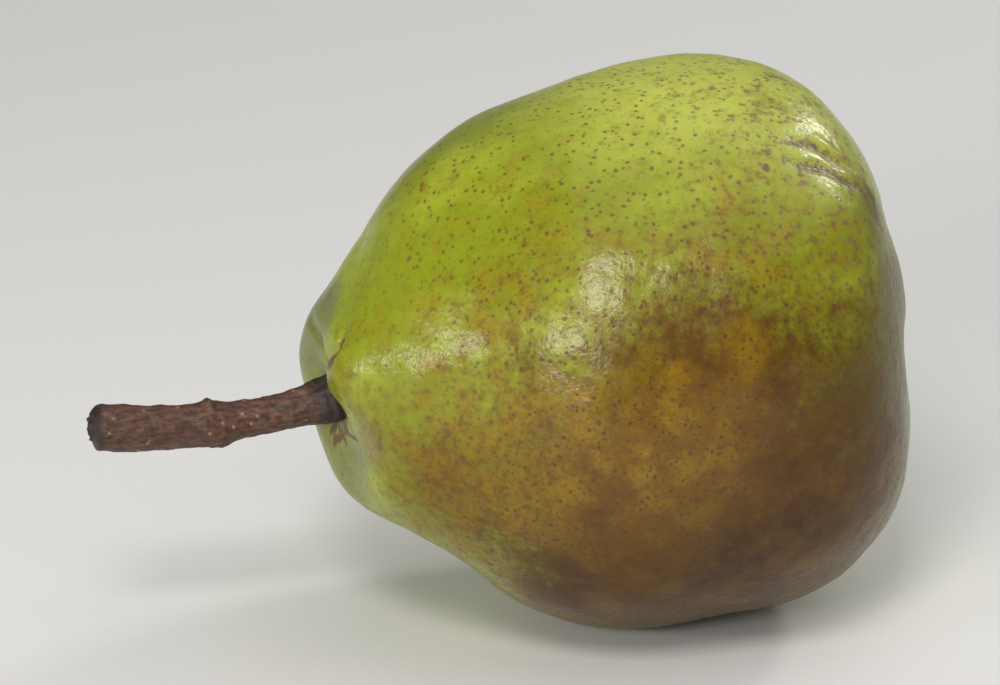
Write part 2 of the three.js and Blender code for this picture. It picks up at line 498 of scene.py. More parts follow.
def spots(tree, where, spacing_mm, radius_mm, softness=0.6):
    """Round marks where the surface cuts small balls strewn through space: the share of each point."""
    gap = add(tree, "TexVoronoi", {"Vector": where, "Scale": 1 / (spacing_mm * MM)}, feature="F1")
    edge = radius_mm / spacing_mm
    return add(tree, "MapRange", {0: gap, 1: edge * (1 + softness), 2: edge * (1 - softness)}, **SOFT)


def stacked(tree, layers):
    """A relief: the sum of patterns, each times its own height in millimetres, as a bumped normal."""
    height = 0.0
    for pattern, millimetres in layers:
        height = add(tree, "Math", {0: pattern, 1: millimetres, 2: height}, operation="MULTIPLY_ADD")
    return add(tree, "Bump", {"Distance": MM, "Height": height})


def green_skin(tree, look, noise, fields):
    """Green skin, yellower in patches, with painted light above the calyx: the upper shoulder is painted
    palest where the light from above falls.
    """
    green = veil(tree, look.deep_green, look.light_green, noise["drift"], 0.4, 0.62)
    green = veil(tree, green, look.ripe_yellow, noise["patch"], 0.5, 0.7, 0.7)
    # Painted light: the upper shoulder is painted paler where the light from above falls.
    painted_light = fray(tree, fields["painted_light"], noise["patch"], 0.3)
    return veil(tree, green, look.painted_light_shoulder, painted_light, 0.1, 0.9, 0.85)


def bronze_skin(tree, look, noise):
    """The blush: bronze and ochre patches with umber drifts."""
    bronze = veil(tree, look.bronze, look.ochre, noise["patch"], 0.42, 0.64)
    return veil(tree, bronze, look.umber, noise["drift"], 0.48, 0.66, 0.8)


def freckles(tree, noise, blush):
    """The share of fine brown flecks, which grow denser with the blush."""
    fleck = add(tree, "MapRange", {0: noise["mottle"], 1: 0.5, 2: 0.68}, **SOFT)
    fine = add(tree, "MapRange", {0: noise["grain"], 1: 0.5, 2: 0.64, 4: 0.8}, **SOFT)
    fleck = add(tree, "Math", {0: fleck, 1: fine}, operation="MAXIMUM")
    dense = add(tree, "MapRange", {0: blush, 1: 0.15, 2: 0.8, 3: 0.04, 4: 0.5}, **SOFT)
    return add(tree, "Math", {0: fleck, 1: dense}, operation="MULTIPLY")


def pores(tree, spot, look, noise, fields, blush):
    """The share of corky pores, in two sizes, which run together into blots towards the calyx."""
    # The pores' places are pushed about by up to a quarter of a millimetre, so that none is quite round.
    bend = add(tree, "TexNoise", {"Vector": spot, "Scale": 1 / (1.1 * MM), "Detail": 1.0}, out="Color")
    push = (0.55 * MM,) * 3
    where = add(tree, "VectorMath", {0: bend, 1: push, 2: spot}, operation="MULTIPLY_ADD")
    spacing, radius = look.pore_spacing / MM, look.pore_radius / MM
    large = spots(tree, where, spacing, radius)
    large = add(tree, "Math", {0: large, 1: 0.84}, operation="MULTIPLY")
    small = spots(tree, where, spacing * 0.7, radius * 0.62)
    dense = add(tree, "MapRange", {0: blush, 1: 0.0, 2: 0.8, 3: 0.35, 4: 0.75}, **SOFT)
    small = add(tree, "Math", {0: small, 1: dense}, operation="MULTIPLY")
    marks = add(tree, "Math", {0: large, 1: small}, operation="MAXIMUM")
    marks = add(tree, "Math", {0: marks, 1: fields["pore_share"]}, operation="MULTIPLY")
    blot = add(tree, "MapRange", {0: noise["mottle"], 1: 0.56, 2: 0.66}, **SOFT)
    crowd = add(tree, "MapRange", {0: fields["pore_crowding"], 1: 0.25, 2: 1.0, 4: 0.7}, **SOFT)
    blot = add(tree, "Math", {0: blot, 1: crowd}, operation="MULTIPLY")
    return add(tree, "Math", {0: marks, 1: blot}, operation="MAXIMUM")


def skin_material(look):
    """Pear skin, grown: a waxed cuticle over green flesh that turned bronze on the sunny side, with brown
    corky pores, russet in the hollows, and a soft broad gloss broken by a fine orange-peel relief."""
    material, tree, spot = new_material("Waxed pear skin, green with a bronze blush")
    fields = {key: add(tree, "Attribute", attribute_name=key, out="Fac") for key in SKIN_FIELDS}
    noise = {
        key: add(
            tree,
            "TexNoise",
            {"Vector": spot, "Scale": 1 / (size * MM), "Detail": octaves, "Roughness": roughness},
        )
        for key, (size, octaves, roughness) in SKIN_PATTERNS.items()
    }
    # The blush thins out in patches and flecks at its edge; a painted grey reflection with painted shade, and
    # then a painted shade, lie over both colours.
    blush = fray(tree, fray(tree, fields["blush"], noise["patch"], 0.5), noise["mottle"], 0.35)
    bronze = bronze_skin(tree, look, noise)
    skin = veil(tree, green_skin(tree, look, noise, fields), bronze, blush, -0.05, 1.05)
    # Painted reflection and painted shade: grey green about the stem.
    painted_reflection_and_shade = fray(tree, fields["painted_reflection_and_shade"], noise["patch"], 0.2)
    skin = veil(tree, skin, look.painted_reflection_grey, painted_reflection_and_shade, 0.1, 0.9, 0.8)
    # Painted shade: the skin is multiplied darker low on its side, underneath, beside the stem's bulge and in
    # the crease valley.
    painted_shade_share = fray(tree, fields["shade"], noise["patch"], 0.3)
    skin = veil(tree, skin, look.painted_shade_flank, painted_shade_share, 0.05, 0.95, 0.85, blend_type="MULTIPLY")
    skin = add(tree, "Mix", {0: freckles(tree, noise, blush), 6: skin, 7: look.freckle}, **TINT)

    # Pores are browner on the blush and mauve where they crowd.
    marks = pores(tree, spot, look, noise, fields, blush)
    tone = veil(tree, look.pore, look.pore_on_bronze, blush, -0.05, 1.05)
    tone = veil(tree, tone, look.pore_mauve, fields["pore_crowding"], 0.3, 1.0)
    skin = add(tree, "Mix", {0: marks, 6: skin, 7: tone}, **TINT)

    # Russet: thin cork, streaked.
    cork = fray(tree, fields["russet"], noise["streak"], 0.75)
    cork = add(tree, "MapRange", {0: cork, 1: 0.35, 2: 0.75, 4: 0.88}, **SOFT)
    tone = veil(tree, look.russet, look.rub_mauve, fields["pore_crowding"], 0.3, 0.8)
    skin = add(tree, "Mix", {0: cork, 6: skin, 7: tone}, **TINT)

    # Relief: orange peel, the grain, the wax, pores a little sunk, cork a little raised.
    layers = [(noise[key], getattr(look, key) / MM) for key in ("peel", "grain", "wax")]
    raised = add(tree, "Math", {0: cork, 1: noise["streak"]}, operation="MULTIPLY")
    relief = stacked(tree, [*layers, (marks, -0.014), (raised, 0.1)])

    dull = add(tree, "MapRange", {0: noise["grain"], 1: 0.3, 2: 0.75, 3: 0.32, 4: 0.42}, **SOFT)
    dull = add(tree, "Math", {0: marks, 1: 0.14, 2: dull}, operation="MULTIPLY_ADD")
    dull = add(tree, "Math", {0: cork, 1: 0.35, 2: dull}, operation="MULTIPLY_ADD", use_clamp=True)
    # The coat is thinner where shade is painted low on the pear's side, so that less of the pale floor is
    # reflected there: painted shade in the gloss.
    waxed = add(tree, "MapRange", {0: fields["shade"], 1: 0.2, 2: 0.95, 3: 0.42, 4: 0.2}, **SOFT)
    # Wax of about IOR 1.45 on wet flesh: a clear sheen from the wax and a wider, weaker one from below it.
    shader = add(
        tree,
        "BsdfPrincipled",
        {
            "Base Color": skin,
            "Roughness": dull,
            "IOR": 1.45,
            "Specular IOR Level": 0.22,
            "Subsurface Weight": 0.05,
            "Subsurface Radius": (1.0, 0.8, 0.25),
            "Subsurface Scale": 1.5 * MM,
            "Coat Weight": waxed,
            "Coat Roughness": 0.2,
            "Normal": relief,
            "Coat Normal": relief,
        },
    )
    add(tree, "OutputMaterial", {"Surface": shader})
    return material


def stem_material(look):
    """Pear wood with its bark, grown: maroon brown, dull with a faint sheen, drawn into lengthwise ridges,
    with pale corky pores and a blackened cut."""
    material, tree, spot = new_material("Pear stem bark")
    drawn = add(tree, "Mapping", {"Vector": spot, "Scale": (0.35, 1.0, 1.0)}, vector_type="POINT")
    fibre = add(tree, "TexNoise", {"Vector": drawn, "Scale": 1 / (0.6 * MM), "Detail": 5, "Roughness": 0.65})
    lump = add(tree, "TexNoise", {"Vector": spot, "Scale": 1 / (2.6 * MM), "Detail": 4, "Roughness": 0.6})
    grain = add(tree, "TexNoise", {"Vector": spot, "Scale": 1 / (0.35 * MM), "Detail": 3, "Roughness": 0.55})
    bark = veil(tree, look.bark_dark, look.bark_light, fibre, 0.32, 0.66)
    bark = veil(tree, bark, look.bark_red, lump, 0.5, 0.72, 0.65)
    bark = veil(tree, bark, look.bark_black, grain, 0.56, 0.66, 0.45)
    dots = spots(tree, spot, spacing_mm=1.75, radius_mm=0.24, softness=0.5)
    share = add(tree, "Math", {0: dots, 1: 0.75}, operation="MULTIPLY")
    bark = add(tree, "Mix", {0: share, 6: bark, 7: look.bark_pore}, **TINT)
    ends = fray(tree, add(tree, "Attribute", attribute_name="stem_dark", out="Fac"), lump, 0.4)
    bark = veil(tree, bark, look.bark_black, ends, 0.25, 0.8, 0.8)
    relief = stacked(tree, [(fibre, 0.13), (lump, 0.09), (grain, 0.05), (dots, 0.05)])
    dull = add(tree, "MapRange", {0: fibre, 1: 0.3, 2: 0.7, 3: 0.62, 4: 0.46}, **SOFT)
    # Wood fibre of about IOR 1.5.
    inputs = {"Base Color": bark, "Roughness": dull, "IOR": 1.5, "Normal": relief}
    shader = add(tree, "BsdfPrincipled", inputs)
    add(tree, "OutputMaterial", {"Surface": shader})
    return material


def dried_material(name, dark, light, look):
    """Dead leaf tissue, dried on the fruit: matte, wrinkled, black-brown with paler worn ridges."""
    material, tree, spot = new_material(name)
    wrinkle = {"Vector": spot, "Scale": 1 / (0.8 * MM), "Detail": 5, "Roughness": 0.65, "Distortion": 0.4}
    fold = add(tree, "TexNoise", wrinkle)
    grain = add(tree, "TexNoise", {"Vector": spot, "Scale": 1 / (0.25 * MM), "Detail": 3, "Roughness": 0.55})
    root = add(tree, "Attribute", attribute_name="root_green", out="Fac")
    tint = veil(tree, dark, light, fold, 0.36, 0.66)
    tint = veil(tree, tint, look.calyx_green, root, 0.3, 0.9, 0.7)
    relief = stacked(tree, [(fold, 0.2), (grain, 0.05)])
    inputs = {"Base Color": tint, "Roughness": 0.78, "IOR": 1.45, "Normal": relief}
    shader = add(tree, "BsdfPrincipled", inputs)
    add(tree, "OutputMaterial", {"Surface": shader})
    return material


def floor_material(look):
    """Emulsion paint on board, rolled: a matte off-white, stippled so finely that it looks even."""
    material, tree, spot = new_material("Matte emulsion paint")
    stipple = add(tree, "TexNoise", {"Vector": spot, "Scale": 1 / (1.2 * MM), "Detail": 2, "Roughness": 0.5})
    relief = stacked(tree, [(stipple, 0.03)])
    shader = add(tree, "BsdfPrincipled", {"Base Color": look.floor, "Roughness": 0.7, "Normal": relief})
    add(tree, "OutputMaterial", {"Surface": shader})
    return material


# -------------------------------------------------------------------------------------------- settings


class PearSkinSettings(bpy.types.PropertyGroup):
    """Sizes and colours of the pear's skin"""

    around: IntProperty(
        name="Points around", description="Points of the skin about the axis", default=384, min=64
    )
    along: IntProperty(
        name="Points along", description="Points of the skin from stem to calyx", default=250, min=40
    )
    undulation: length("Undulation", "Height of the soft lumps of the skin", 0.1)
    pore_spacing: length("Pore spacing", "Distance between the balls that pores are cut from", 1.25)
    pore_radius: length("Pore radius", "Radius of the largest pores", 0.27)
    peel: length("Orange peel", "Height of the soft relief of the skin", 0.07)
    grain: length("Grain", "Height of the grain of the skin", 0.04)
    wax: length("Wax", "Height of the finest relief, of the wax", 0.015)
    deep_green: colour("Deep green", "Green of the shaded skin", 0x849119)
    light_green: colour("Light green", "Green of the lighter skin", 0x9AA72C)
    # Painted light: the pale colour of the upper shoulder.
    painted_light_shoulder: colour("Ripe shoulder", "Palest skin, above the calyx", 0xC4CE5C)
    ripe_yellow: colour("Ripe yellow", "Yellow patches of ripe skin", 0x928F1B)
    bronze: colour("Bronze", "Main colour of the blush", 0x6E4E06)
    ochre: colour("Ochre", "Lighter patches of the blush", 0x86680C)
    umber: colour("Umber", "Darker drifts of the blush", 0x50300A)
    freckle: colour("Freckle", "Fine mottling over the blush", 0x5C3C16)
    pore: colour("Pore", "Pores on green skin", 0x684A22)
    pore_on_bronze: colour("Pore on bronze", "Pores on the blush", 0x50341A)
    # Painted reflection and painted shade: the grey green about the stem.
    painted_reflection_grey: colour("Grey green", "Waxy skin about the stem", 0x6C7444)
    # Painted shade: the tint that the skin is multiplied by low on its side and underneath.
    painted_shade_flank: colour("Flank", "What the skin is multiplied by on its deeply tanned flank", 0xA4946C)
    pore_mauve: colour("Mauve pore", "Crowded pores near the calyx", 0x7E5B4E)
    russet: colour("Russet", "Corky skin in the hollows", 0x5E3E2E)
    rub_mauve: colour("Rubbed skin", "Cork along the creases of the rub", 0x6E5448)


class PearStemSettings(bpy.types.PropertyGroup):
    """Sizes and colours of the stem"""

    stem_length: length("Length", "Length of the stem above its seat", 32.5)
    radius: length("Radius", "Radius at the thinnest place", 2.42)
    foot_slope: angle("Foot slope", "Slope at the foot, below the pear's axis", 5.3)
    tip_slope: angle("Tip slope", "Slope at the tip, below the pear's axis", -16.7)
    bark_dark: colour("Dark bark", "Furrows of the bark", 0x34201A)
    bark_light: colour("Light bark", "Ridges of the bark", 0x664434)
    bark_red: colour("Red bark", "Maroon patches", 0x52302A)
    bark_pore: colour("Bark pore", "Pale corky pores", 0x9A7A50)
    bark_black: colour("Black bark", "The foot and the cut end", 0x201614)


class PearCalyxSettings(bpy.types.PropertyGroup):
    """Sizes and colours of the dried flower remains"""

    sepal_length: length("Sepal length", "Length of a sepal along its curl", 6.4)
    sepal_width: length("Sepal width", "Width of a sepal at its root", 3.2)
    filaments: IntProperty(name="Filaments", description="Number of dried stamens", default=18, min=1, max=40)
    sepal_dark: colour("Dark sepal", "Dried tissue in the folds", 0x2A1D14)
    sepal_light: colour("Light sepal", "Worn ridges of the dried tissue", 0x6B5134)
    calyx_green: colour("Calyx green", "Living tissue at the roots", 0x6E7440)
    stamen_dark: colour("Dark stamen", "Dried filaments", 0x1E1611)
    stamen_light: colour("Light stamen", "Paler dried filaments", 0x5A4430)


class PearStageSettings(bpy.types.PropertyGroup):
    """The floor, the lights and the camera"""

    azimuth: angle("Azimuth", "The camera's turn about the pear", -16)
    elevation: angle("Elevation", "The camera's height above the pear's heart", 20)
    distance: length("Distance", "From the camera to the pear's heart", 700)
    lens: length("Focal length", "Focal length for a 36 mm wide film", 188.5)
    heart_right: length("Heart to the right", "How far the heart stands right of the picture's middle", 18.9)
    heart_down: length("Heart down", "How far the heart stands below the picture's middle", 0.6)
    floor_size: length("Floor size", "Side of the floor", 4000)
    floor: colour("Floor", "Colour of the floor", 0xE9EAEC)
    sky: colour("Sky", "Colour of the even light from all round", 0xF4F6F8)


# ---------------------------------------------------------------------------------------------- pieces


def skin_points(look):
    """The skin at a grid of angles, from the stem and about the axis, whose rings crowd towards the poles,
    where the cavity and the basin are."""
    t = np.linspace(0, np.pi, look.along + 2)[1:-1]
    from_stem = (t - POLE_CROWDING * np.sin(2 * t))[:, None] + np.zeros((1, look.around))
    around = np.linspace(0, 2 * np.pi, look.around, endpoint=False)[None, :] + 0 * from_stem
    return skin_at(from_stem, around, look)


def skin_at(from_stem, around, look):
    """The skin at arrays of angles: directions from the heart, each as long as the creased distance plus
    soft lumps. Returns the points in the row frame, their directions and their distances to the rub."""
    ways = direction(from_stem, around)
    distance, rub = creased_distance(from_stem, around, ways)
    points = ways * distance[..., None]
    lumps = sum(share * waves(points, wavelength, seed) for wavelength, seed, share in LUMPS)
    wavelength, seed, share = RUB_LUMPS
    lumps += share * waves(points, wavelength, seed) * bell(rub, RUB_LUMPS_REACH)
    calm = 1 - bell(np.abs(from_stem - np.pi / 2) - np.pi / 2, CALM_POLES)
    placed = place(ways * (distance + look.undulation / MM * lumps * calm)[..., None])
    placed[..., 2] = rested(placed[..., 2])
    return placed, ways, rub


def creased_distance(from_stem, around, ways):
    """The plain skin distance, plus the folds at the stem, less a bell across each crease, plus the rub's
    ridge and the puckers. Also returns the distance to the rub."""
    distance = skin_distance(from_stem, around) + bump_field(ways, STEM_FOLDS)
    rub = np.full(from_stem.shape, NO_RUB)
    for path in RUB_CREASES.values():
        gap, share = path_distance(ways, path, RUB_RADIUS)
        fade = arch(share, 0.04, 0.96, 0.6)
        distance -= CREASE_DEPTH * fade * bell(gap, CREASE_WIDTH)
        rub = np.minimum(rub, gap + RUB_END_GAP * (1 - fade))
    gap, share = path_distance(ways, RUB_RIDGE, RUB_RADIUS)
    distance += RIDGE_HEIGHT * np.sin(np.pi * share) * bell(gap, RIDGE_WIDTH)
    for path, width, depth in STEM_CREASES.values():
        gap, share = path_distance(ways, path, STEM_END_RADIUS)
        distance -= depth * arch(share, 0.1, 0.97, 0.5) * bell(gap, width)
    pucker = sum(np.cos(count * around + phase) for count, phase in PUCKERS)
    return distance + PUCKER_HEIGHT * pucker * bell(from_stem - PUCKER_FROM, PUCKER_SPREAD), rub


def rested(z):
    """Heights of skin that rests on the floor: a soft maximum of each height and zero, less half the blend
    where the height is below zero, so that the skin flattens where it would pass below the floor."""
    soft = 0.5 * (z + np.sqrt(z * z + FLAT_SPOT_BLEND**2)) - 0.5 * FLAT_SPOT_BLEND * (z < 0)
    return np.maximum(soft, 0)


def rays(ways, pole, reach, comb):
    """Streaks that fan out of a pole: a bell of the chord from it, times the mean of sine waves of the
    angle about the axis."""
    away = np.linalg.norm(ways - direction(pole, 0.0), axis=-1)
    turn = np.arctan2(-ways[..., 1], ways[..., 2])
    teeth = sum(np.sin(count * turn + phase) for count, phase in comb) / len(comb)
    return bell(away, reach) * (0.75 + 0.6 * teeth)


def skin_attributes(placed, ways, rub):
    """Per-point shares for the skin's colours: the sum of each table's rises. Russet is the strongest of
    its table, the rub, the streaks beside the stem and the rays of both poles."""
    russet = np.maximum(bump_field(ways, RUSSET), RUB_RUSSET * bell(rub, RUB_RUSSET_WIDTH))
    for path, width, strength in STEM_STREAKS.values():
        gap, share = path_distance(ways, path, STEM_END_RADIUS)
        fade = 1 - 0.6 * smooth_step(0.55, 1, share)
        russet = np.maximum(russet, strength * fade * bell(gap, width))
    for pole, reach, comb in RAYS.values():
        russet = np.maximum(russet, RAY_SHARE * rays(ways, pole, reach, comb))
    grown = smooth_step(*PORES_GROWN, np.degrees(np.arccos(np.clip(-ways[..., 0], -1, 1))))
    wavelength, seed, drift = BLUSH_DRIFT
    return {
        "blush": bump_field(ways, BLUSH) + drift * waves(placed, wavelength, seed),
        "shade": bump_field(ways, SHADE),
        "painted_reflection_and_shade": bump_field(ways, PAINTED_REFLECTION_AND_SHADE),
        "painted_light": bump_field(ways, PAINTED_LIGHT_PATCH),
        "russet": russet,
        "pore_crowding": bump_field(ways, PORE_CROWD),
        "pore_share": PORES_AT_STEM + (1 - PORES_AT_STEM) * grown,
    }


def make_skin(look):
    """The body: the skin's grid closed by a point at either pole, with its colour shares."""
    grid = skin_points(look)
    # The grid stops short of the poles, so one point is worked out at each.
    poles = [skin_at(np.array([end]), np.array([0.0]), look) for end in (POLE_GAP, np.pi - POLE_GAP)]
    part = closed_tube(grid[0], poles[0][0][0], poles[1][0][0])
    shares = [skin_attributes(*points) for points in (grid, *poles)]
    values = {key: np.concatenate([share[key].ravel() for share in shares]) for key in SKIN_FIELDS}
    piece = build_mesh("pear_skin", [part], skin_material(look), values)
    settle(piece, "pear_body", slack=2.5)


def stem_axis(along, look):
    """The stem's centre line in the pear frame, an arc whose slope goes evenly from foot to tip, and its
    tangent and its upward side."""
    foot = look.foot_slope
    turn = (look.tip_slope - foot) / (look.stem_length / MM)
    slope = foot + turn * along
    back = (np.sin(slope) - math.sin(foot)) / turn
    drop = (math.cos(foot) - np.cos(slope)) / turn
    centre = np.stack([-STEM_SEAT - back, 0 * along, STEM_RISE - drop], -1)
    up = np.stack([-np.sin(slope), 0 * along, np.cos(slope)], -1)
    side = np.stack([0 * along, -np.ones_like(along), 0 * along], -1)
    tangent = np.stack([-np.cos(slope), 0 * along, -np.sin(slope)], -1)
    return centre, tangent, up, side


def stem_radius(along, around, look):
    """Thin in the middle, flared at the foot, thicker towards the tip, with a bud scar on top and a
    corner under it, ridges that run lengthwise, wrinkles across them and a worn rim at the cut."""
    height, reach, power = FOOT_FLARE
    radius = look.radius / MM + height * np.exp(-((np.maximum(along, 0) / reach) ** power))
    height, start, full = TIP_SWELL
    radius = radius + height * smooth_step(start, full, along)
    for middle, reach, height, side, spread in STEM_SWELLINGS.values():
        radius = radius + height * bell(np.sin((around - side) / 2), spread) * bell(along - middle, reach)
    for count, height, phase, turn in STEM_RIDGES:
        radius = radius + height * np.sin(count * around + phase + turn * along)
    wrinkle = sum(height * bell(along - middle, reach) for middle, reach, height in STEM_WRINKLES)
    radius = radius + wrinkle * np.sin(4.6 * along + 0.8 * np.sin(around))
    # The rim of the cut is worn round, most of all on top.
    edge = np.clip((look.stem_length / MM - along) / (1.5 + 0.5 * np.cos(around)), 0, 1)
    return radius * np.sqrt(1 - (1 - edge) ** 2.4 * 0.62)


def stem_cut(rim, centre, tangent):
    """The cut: rings that shrink from the rim towards the pith, on a low dome with growth rings."""
    rings = []
    for share in np.linspace(0.93, 0.08, 16):
        ring = centre + (rim - centre) * share
        dome = 0.35 * (1 - share**2) + 0.12 * np.sin(share * 15) + 0.12 * waves(ring, 1.2, 23)
        rings.append(ring + tangent * dome[..., None])
    return np.array(rings)


def make_stem(look):
    """The stem: rings about a bent centre line, closed by a slightly domed and tilted cut. Its attribute
    darkens it at the foot and at the cut."""
    total = look.stem_length / MM
    shaft = np.linspace(-STEM_SINK, total - STEM_RIM, 220)
    along = np.concatenate([shaft, np.linspace(total - STEM_RIM, total, 13)[1:]])
    # The angles run backwards, so that the faces point outwards.
    s, a = np.meshgrid(along, np.linspace(0, -2 * np.pi, 112, endpoint=False), indexing="ij")
    radius = stem_radius(s, a, look)
    centre, tangent, up, side = stem_axis(s, look)
    out = up * np.cos(a)[..., None] + side * np.sin(a)[..., None]
    slant = 0.16 * radius * np.cos(a) * smooth_step(total - 6, total, s)
    rings = centre + out * radius[..., None] + tangent * slant[..., None]
    rings = rings + out * (0.05 * waves(rings, 2.2, 21) + 0.02 * waves(rings, 0.9, 22))[..., None]
    cut = stem_cut(rings[-1], centre[-1], tangent[-1])
    points = place(np.concatenate([rings, cut]))
    part = closed_tube(points, points[0].mean(0), points[-1].mean(0))
    dark = bell(np.maximum(s, 0), 3.2) + 0.9 * smooth_step(total - 2.4, total - 0.2, s)
    dark = np.concatenate([dark.ravel(), np.ones(cut[..., 0].size + 2)])
    piece = build_mesh("woody_stem", [part], stem_material(look), {"stem_dark": dark})
    settle(piece, "stem", slack=6.0)


def make_sepals(look):
    """Five sepals, each a little different in length, lean, curl, twist and place on the ring."""
    material = dried_material("Dried sepal tissue", look.sepal_dark, look.sepal_light, look)
    chance = np.random.default_rng(41)
    for i in range(RIB_COUNT):
        turn = 2 * np.pi * (i + 0.5 + chance.uniform(-0.1, 0.1)) / RIB_COUNT
        curl = math.radians(chance.uniform(60, 190))
        lean = math.radians(chance.uniform(4, 40))
        length_mm = look.sepal_length / MM * chance.uniform(0.72, 1.05)
        twist = chance.uniform(-1.1, 1.1)
        part, roots = sepal_surface(length_mm, look.sepal_width / MM, lean, curl, twist, turn, 50 + i)
        name = f"sepal_{i + 1}"
        piece = build_mesh("dried_" + name, [part], material, {"root_green": roots})
        settle(piece, name, slack=3.4)


def sepal_section(share, a, width, seed):
    """A sepal's section, across and out: an ellipse, wide and thin, cupped across. Its half width falls to
    the tip as 1 - 0.88 share^1.4, narrows a little at the root and waves along its edges."""
    taper = (1 - 0.88 * share**1.4) * (0.78 + 0.22 * np.sin(np.pi * np.minimum(share * 1.4, 1)))
    wavy = 1 + 0.14 * np.sin(9 * share + seed) + 0.08 * np.sin(21 * share + 2 * seed)
    half = 0.5 * width * taper * wavy
    blunt = np.sqrt(np.clip(1 - ((share - 0.5) / 0.502) ** 12, 0, 1))
    thick = SEPAL_THICKNESS * (1 - 0.6 * share)
    across = np.cos(a) * blunt
    return half * across, np.sin(a) * thick * blunt - SEPAL_CUP * half * across**2


def sepal_surface(length_mm, width, lean, curl, twist, turn, seed):
    """One sepal: its section carried along a centre line that leans out and whose slope grows evenly to the
    curl, twisted on the way, crumpled by waves, and turned to its place on the ring."""
    share = np.linspace(0, 1, 64)[:, None]
    a = np.linspace(0, 2 * np.pi, 36, endpoint=False)[None, :]
    rate = (curl - lean) / length_mm
    slope = lean + rate * share * length_mm
    up = (np.sin(slope) - math.sin(lean)) / rate
    out = (math.cos(lean) - np.cos(slope)) / rate
    u, v = sepal_section(share, a, width, seed)
    swing = twist * share
    u, v = u * np.cos(swing) - v * np.sin(swing), u * np.sin(swing) + v * np.cos(swing)
    points = np.stack([up - v * np.sin(slope), u, SEPAL_RING + out + v * np.cos(slope)], -1)
    crumple = 0.3 * waves(points, 2.0, seed) + 0.13 * waves(points, 0.8, seed + 100)
    normal = np.stack([-np.sin(slope) + 0 * u, 0 * u, np.cos(slope) + 0 * u], -1)
    points = points + normal * (crumple * np.minimum(share * 4, 1))[..., None]
    c, s = math.cos(turn), math.sin(turn)
    x, y, z = np.moveaxis(points, -1, 0)
    placed = place(np.stack([x + CALYX_SEAT, y * c - z * s, y * s + z * c], -1))
    roots = np.concatenate([(1 - smooth_step(0.05, 0.45, share) + 0 * a).ravel(), [1.0, 0.0]])
    return closed_tube(placed, placed[0].mean(0), placed[-1].mean(0)), roots


def make_stamens(look):
    """The tuft: bent dry filaments with shrivelled heads, standing on a low wrinkled boss."""
    chance = np.random.default_rng(61)
    parts = [boss_surface()]
    roots = [np.ones(len(parts[0][0])) * 0.3]
    for i in range(look.filaments):
        around = 2 * np.pi * (i + chance.uniform(0, 0.7)) / look.filaments
        part = filament_surface(STAMEN_RINGS[i % 3], around, chance)
        parts.append(part)
        roots.append(np.zeros(len(part[0])))
    material = dried_material("Dried stamens", look.stamen_dark, look.stamen_light, look)
    piece = build_mesh("stamen_tuft", parts, material, {"root_green": np.concatenate(roots)})
    settle(piece, "stamens", slack=2.0)


def boss_surface():
    """A low dome whose height falls as 1 - share^2, with eight shallow folds and a ripple, on a flat foot."""
    share = np.linspace(0.04, 1, 26)[:, None]
    a = np.linspace(0, 2 * np.pi, 72, endpoint=False)[None, :]
    radius = BOSS_RADIUS * share * (1 + 0.06 * np.cos(8 * a) * share)
    height = BOSS_HEIGHT * (1 - share**2) + 0.07 * np.sin(share * 16 + np.cos(3 * a))
    across, up = radius * np.sin(a), radius * np.cos(a)
    top = np.stack([STAMEN_SEAT + height, across, up], -1)
    under = np.stack([STAMEN_SEAT - BOSS_FOOT + 0 * radius, across, up], -1)[::-1]
    rings = place(np.concatenate([top, under]))
    return closed_tube(rings, rings[0].mean(0), rings[-1].mean(0))


def filament_surface(ring, around, chance):
    """A thin tube on a bent path, radius 0.17 falling to 0.12, swollen by 0.2 at its head."""
    length_mm = chance.uniform(2.0, 3.4)
    lean = chance.uniform(-0.15, 0.5)
    swirl = chance.uniform(-0.7, 0.7)
    share = np.linspace(0, 1, 30)
    slope = lean + 0.9 * share * chance.uniform(-1, 1)
    step = length_mm / (len(share) - 1)
    x = STAMEN_SEAT + 0.4 + np.cumsum(np.cos(slope)) * step
    r = ring + np.cumsum(np.sin(slope)) * step
    turn = around + swirl * share
    centre = np.stack([x, r * np.sin(turn), r * np.cos(turn)], -1)
    radius = 0.17 - 0.05 * share + 0.2 * bell(share - 0.93, 0.07)
    radius = radius * np.sqrt(np.clip(1 - ((share - 0.5) / 0.5001) ** 20, 0.02, 1))
    tangent = np.gradient(centre, axis=0)
    tangent /= np.linalg.norm(tangent, axis=1, keepdims=True)
    first = np.cross(tangent, [0.0, 0.3, 1.0])
    first /= np.linalg.norm(first, axis=1, keepdims=True)
    second = np.cross(tangent, first)
    a = np.linspace(0, 2 * np.pi, 10, endpoint=False)[None, :, None]
    out = first[:, None] * np.cos(a) + second[:, None] * np.sin(a)
    rings = place(centre[:, None] + radius[:, None, None] * out)
    return closed_tube(rings, rings[0].mean(0), rings[-1].mean(0))


# ----------------------------------------------------------------------------------------------- stage


def make_floor(look):
    """One flat square, pale and matte, level with the lowest point of the frame."""
    half = look.floor_size / 2
    level = CAD_BOX[0][2]
    corners = [(-half, -half, level), (half, -half, level), (half, half, level), (-half, half, level)]
    mesh = bpy.data.meshes.new("floor")
    mesh.from_pydata(corners, [], [(0, 1, 2, 3)])
    mesh.materials.append(floor_material(look))
    floor = bpy.data.objects.new("floor", mesh)
    bpy.context.scene.collection.objects.link(floor)


def aim(thing, target):
    """Turns a lamp or a camera so that its -Z axis points at the target."""
    thing.rotation_euler = (target - thing.location).to_track_quat("-Z", "Y").to_euler()


WARM_WHITE = (1.0, 0.965, 0.9)
SKY_STRENGTH = 0.17
FILM_WIDTH = 36  # millimetres

